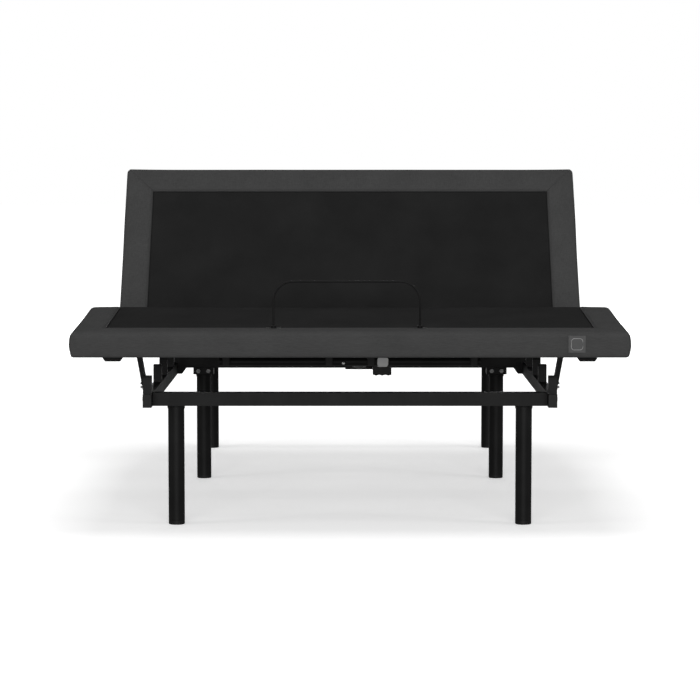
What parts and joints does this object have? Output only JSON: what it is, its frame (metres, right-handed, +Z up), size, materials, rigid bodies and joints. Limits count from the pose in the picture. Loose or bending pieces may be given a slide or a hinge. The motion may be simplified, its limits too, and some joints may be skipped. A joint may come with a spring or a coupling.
{
  "type": "adjustable bed base",
  "caption": "Motorised adjustable bed base: hinged upholstered head, thigh and foot sections on a steel chassis with round legs, lift actuators and a mattress retainer bar.",
  "frame": {"origin": "on the floor, under the middle of the bounding box of the raised rest position", "axes": "+Z up, +Y from the foot end to the head end, +X to the right when looking from the foot end"},
  "size_m": [1.524, 1.9983, 0.9798],
  "materials": {
    "heather_fabric": "woven dark heather grey upholstery cloth over foam",
    "black_tricot": "matt black warp-knit cloth over thin foam",
    "black_steel": "satin black powder coat",
    "plywood": "plywood, stained black",
    "black_plastic": "moulded, lightly grained",
    "black_rubber": "moulded rubber",
    "zinc_steel": "bright zinc plated",
    "silver_aluminium": "drawn tube, satin",
    "badge_plastic": "plain moulded square"
  },
  "bodies": {
    "chassis": {"left_side_rail": "black_steel", "right_side_rail": "black_steel", "front_cross_rail": "black_steel", "middle_cross_rail": "black_steel", "rear_cross_rail": "black_steel", "rail_end_caps": "black_plastic", "front_left_leg": "black_steel", "front_right_leg": "black_steel", "middle_left_leg": "black_steel", "middle_right_leg": "black_steel", "rear_left_leg": "black_steel", "rear_right_leg": "black_steel", "leg_glides": "black_plastic", "deck_rests": "black_steel", "rest_pads": "black_rubber", "seat_posts": "black_steel", "frame_bolts": "zinc_steel", "actuator_brackets": "black_steel", "control_box": "black_plastic", "power_inlet": "zinc_steel", "seat_frame": "black_steel", "seat_board": "plywood", "seat_border": "heather_fabric", "seat_insert": "black_tricot", "seat_hinge_plates": "black_steel", "seat_hinge_pins": "zinc_steel", "link_pivot_bolts": "zinc_steel"},
    "head_section": {"head_frame": "black_steel", "head_board": "plywood", "head_border": "heather_fabric", "head_insert": "black_tricot", "head_hinge_plates": "black_steel", "head_lift_arms": "black_steel"},
    "thigh_section": {"thigh_frame": "black_steel", "thigh_board": "plywood", "thigh_border": "heather_fabric", "thigh_insert": "black_tricot", "thigh_hinge_plates": "black_steel", "knee_hinge_pins": "zinc_steel", "thigh_lift_arms": "black_steel"},
    "foot_section": {"foot_frame": "black_steel", "foot_board": "plywood", "foot_border": "heather_fabric", "foot_insert": "black_tricot", "foot_hinge_plates": "black_steel", "link_brackets": "black_steel", "deck_bumpers": "black_rubber", "retainer_bar": "black_steel", "retainer_plates": "black_steel", "blank_badge": "badge_plastic"},
    "foot_links": {"left_link_arm": "black_steel", "right_link_arm": "black_steel"},
    "head_actuator": {"head_gearbox": "black_plastic", "head_motor": "black_plastic", "head_guide_tube": "silver_aluminium"},
    "head_rod": {"head_push_rod": "silver_aluminium"},
    "thigh_actuator": {"thigh_gearbox": "black_plastic", "thigh_motor": "black_plastic", "thigh_guide_tube": "silver_aluminium"},
    "thigh_rod": {"thigh_push_rod": "silver_aluminium"}
  },
  "joints": [
    {"name": "head_lift", "type": "hinge", "parent": "chassis", "child": "head_section", "pos_m": [0, 0.427, 0.478], "axis": [1, 0, 0], "range_deg": [-53.5, 8.5]},
    {"name": "thigh_lift", "type": "hinge", "parent": "chassis", "child": "thigh_section", "pos_m": [0, -0.017, 0.478], "axis": [-1, 0, 0], "range_deg": [-13, 15]},
    {"name": "knee_fold", "type": "hinge", "parent": "thigh_section", "child": "foot_section", "pos_m": [0, -0.44917, 0.52646], "axis": [1, 0, 0], "range_deg": [-17.6, 20.23]},
    {"name": "link_swing", "type": "hinge", "parent": "chassis", "child": "foot_links", "pos_m": [0, -0.696, 0.38], "axis": [-1, 0, 0], "range_deg": [-18.44, 21.2]},
    {"name": "head_actuator_swing", "type": "hinge", "parent": "chassis", "child": "head_actuator", "pos_m": [-0.12, 0.2165, 0.379], "axis": [1, 0, 0], "range_deg": [-10.9, 2.15]},
    {"name": "head_actuator_stroke", "type": "slide", "parent": "head_actuator", "child": "head_rod", "axis": [0, 0.9789, 0.2044], "range_m": [-0.0683, 0.0117]},
    {"name": "thigh_actuator_swing", "type": "hinge", "parent": "chassis", "child": "thigh_actuator", "pos_m": [0.028, 0.1215, 0.379], "axis": [-1, 0, 0], "range_deg": [-6.35, 7.25]},
    {"name": "thigh_actuator_stroke", "type": "slide", "parent": "thigh_actuator", "child": "thigh_rod", "axis": [0, -0.9985, 0.0548], "range_m": [-0.0214, 0.0245]}
  ],
  "couplings": [
    {"joint": "knee_fold", "follows": "thigh_lift", "ratio": 1.3154},
    {"joint": "link_swing", "follows": "thigh_lift", "ratio": 1.38},
    {"joint": "thigh_actuator_swing", "follows": "thigh_lift", "ratio": 0.45},
    {"joint": "thigh_actuator_stroke", "follows": "thigh_lift", "m_per_rad": 0.08988},
    {"joint": "head_actuator_swing", "follows": "head_lift", "ratio": 0.1944},
    {"joint": "head_actuator_stroke", "follows": "head_lift", "m_per_rad": 0.07204}
  ]
}
